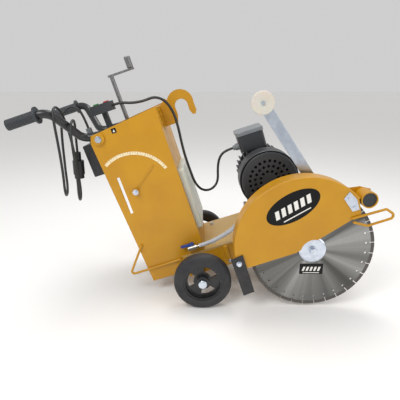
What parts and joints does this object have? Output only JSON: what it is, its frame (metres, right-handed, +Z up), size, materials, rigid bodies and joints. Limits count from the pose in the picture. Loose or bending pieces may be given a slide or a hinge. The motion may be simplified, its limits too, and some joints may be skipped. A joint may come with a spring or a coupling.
{
  "type": "walk-behind concrete saw",
  "caption": "Walk-behind floor saw with a guarded diamond blade, belt-driven motor, tilted tower with depth scale, water feed and fold-down pointer.",
  "frame": {"origin": "on the floor under the middle of the machine's box", "axes": "+X forward, +Y to the machine's left, +Z up"},
  "size_m": [1.3224, 0.5964, 0.912],
  "materials": {
    "yellow_paint": "satin golden-yellow enamel",
    "deck_paint": "scuffed beige-yellow enamel",
    "black_paint": "semi-gloss black",
    "motor_grey": "dark grey machinery paint",
    "zinc": "bright zinc plate",
    "galvanised": "galvanised",
    "blade_steel": "radially ground",
    "steel": "turned steel",
    "iron": "machined",
    "tyre": "black",
    "grip_rubber": "matt",
    "flap_rubber": "matt",
    "cable_rubber": "satin",
    "black_plastic": "fine texture",
    "grey_plastic": "satin",
    "tank_plastic": "translucent off-white",
    "scale_white": "white strip",
    "green_plastic": "gloss",
    "red_plastic": "gloss",
    "blue_plastic": "gloss",
    "brass": "plated",
    "hose_pvc": "clear braided hose"
  },
  "bodies": {
    "chassis": {"deck_plate": "deck_paint", "frame_rails": "yellow_paint", "rear_rods": "yellow_paint", "tower_panel_right": "yellow_paint", "tower_panel_left": "yellow_paint", "tower_front": "yellow_paint", "water_tank": "tank_plastic", "switch_box": "black_paint", "lifting_hook": "yellow_paint", "depth_scale": "scale_white", "screw_bearing": "iron", "handlebar": "black_paint", "handle_grips": "grip_rubber", "zinc_bolts": "zinc", "control_box": "black_plastic", "cable_glands": "grey_plastic", "motor_body": "motor_grey", "motor_end_shields": "motor_grey", "fan_cowl": "motor_grey", "terminal_box": "motor_grey", "terminal_lid": "grey_plastic", "drive_belts": "grip_rubber", "belt_cover": "yellow_paint", "bearing_housings": "iron", "rear_axle": "steel", "wheel_nuts": "zinc", "swing_pin": "steel", "water_valve": "brass", "spray_pipe": "steel", "supply_lead": "cable_rubber", "lead_plug": "cable_rubber", "motor_cable": "cable_rubber", "water_hose": "hose_pvc"},
    "needle": {"depth_needle": "yellow_paint"},
    "crank": {"depth_crank": "steel"},
    "start_button": {"start_button": "green_plastic"},
    "stop_button": {"stop_button": "red_plastic"},
    "motor_rotor": {"motor_rotor": "steel", "motor_fan": "black_plastic", "motor_pulley": "iron"},
    "blade_spindle": {"arbor_shaft": "steel", "arbor_pulley": "iron", "blade": "blade_steel", "blade_flanges": "zinc", "arbor_bolt": "zinc"},
    "guard": {"guard_shell": "yellow_paint", "guard_drum": "yellow_paint", "guard_fittings": "zinc", "guard_handle": "yellow_paint", "splash_flap": "flap_rubber"},
    "rear_wheel_right": {"rear_tyre_right": "tyre", "rear_rim_right": "black_paint"},
    "rear_wheel_left": {"rear_tyre_left": "tyre", "rear_rim_left": "black_paint"},
    "front_swing": {"swing_arm": "black_paint"},
    "front_wheel_right": {"front_wheel_right": "tyre"},
    "front_wheel_left": {"front_wheel_left": "tyre"},
    "pointer": {"pointer_arm": "galvanised"},
    "pointer_roller": {"pointer_roller": "tank_plastic"},
    "valve_handle": {"valve_handle": "blue_plastic"}
  },
  "joints": [
    {"name": "blade_spin", "type": "hinge", "parent": "chassis", "child": "blade_spindle", "pos_m": [0.40101, 0.00871, 0.23776], "axis": [0, 1, 0], "continuous": true},
    {"name": "motor_spin", "type": "hinge", "parent": "chassis", "child": "motor_rotor", "pos_m": [0.25695, 0.00871, 0.46433], "axis": [0, 1, 0], "continuous": true},
    {"name": "rear_wheel_right_spin", "type": "hinge", "parent": "chassis", "child": "rear_wheel_right", "pos_m": [0.00504, -0.24329, 0.107], "axis": [0, 1, 0], "continuous": true},
    {"name": "rear_wheel_left_spin", "type": "hinge", "parent": "chassis", "child": "rear_wheel_left", "pos_m": [0.00504, 0.26071, 0.107], "axis": [0, 1, 0], "continuous": true},
    {"name": "front_axle_swing", "type": "hinge", "parent": "chassis", "child": "front_swing", "pos_m": [0.2021, 0.00871, 0.19626], "axis": [0, -1, 0], "range_deg": [0, 22]},
    {"name": "front_wheel_right_spin", "type": "hinge", "parent": "front_swing", "child": "front_wheel_right", "pos_m": [0.36242, -0.06629, 0.075], "axis": [0, 1, 0], "continuous": true},
    {"name": "front_wheel_left_spin", "type": "hinge", "parent": "front_swing", "child": "front_wheel_left", "pos_m": [0.36242, 0.08371, 0.075], "axis": [0, 1, 0], "continuous": true},
    {"name": "depth_needle_turn", "type": "hinge", "parent": "chassis", "child": "needle", "pos_m": [-0.24491, -0.13629, 0.42324], "axis": [0, -1, 0], "range_deg": [0, 66]},
    {"name": "depth_crank_turn", "type": "hinge", "parent": "chassis", "child": "crank", "pos_m": [-0.34203, 0.00871, 0.8354], "axis": [-0.309, 0, 0.9511], "range_deg": [0, 2200]},
    {"name": "guard_tilt", "type": "hinge", "parent": "chassis", "child": "guard", "pos_m": [0.40101, -0.24629, 0.23776], "axis": [0, 1, 0], "range_deg": [-6, 18]},
    {"name": "pointer_fold", "type": "hinge", "parent": "chassis", "child": "pointer", "pos_m": [0.50977, -0.18729, 0.31726], "axis": [0, 1, 0], "range_deg": [0, 155]},
    {"name": "pointer_roller_spin", "type": "hinge", "parent": "pointer", "child": "pointer_roller", "pos_m": [0.20692, -0.19729, 0.74977], "axis": [0, 1, 0], "continuous": true},
    {"name": "valve_turn", "type": "hinge", "parent": "chassis", "child": "valve_handle", "pos_m": [-0.03718, -0.15129, 0.21105], "axis": [-0.309, 0, 0.9511], "range_deg": [0, 90]},
    {"name": "start_press", "type": "slide", "parent": "chassis", "child": "start_button", "axis": [0.309, 0, -0.9511], "range_m": [0, 0.004], "stiffness_N_per_m": 400, "springref_m": -0.002},
    {"name": "stop_press", "type": "slide", "parent": "chassis", "child": "stop_button", "axis": [0.309, 0, -0.9511], "range_m": [0, 0.004], "stiffness_N_per_m": 400, "springref_m": -0.002}
  ],
  "couplings": [
    {"joint": "motor_spin", "follows": "blade_spin", "ratio": 0.86538},
    {"joint": "depth_needle_turn", "follows": "front_axle_swing", "ratio": 3},
    {"joint": "depth_crank_turn", "follows": "front_axle_swing", "ratio": 100}
  ]
}
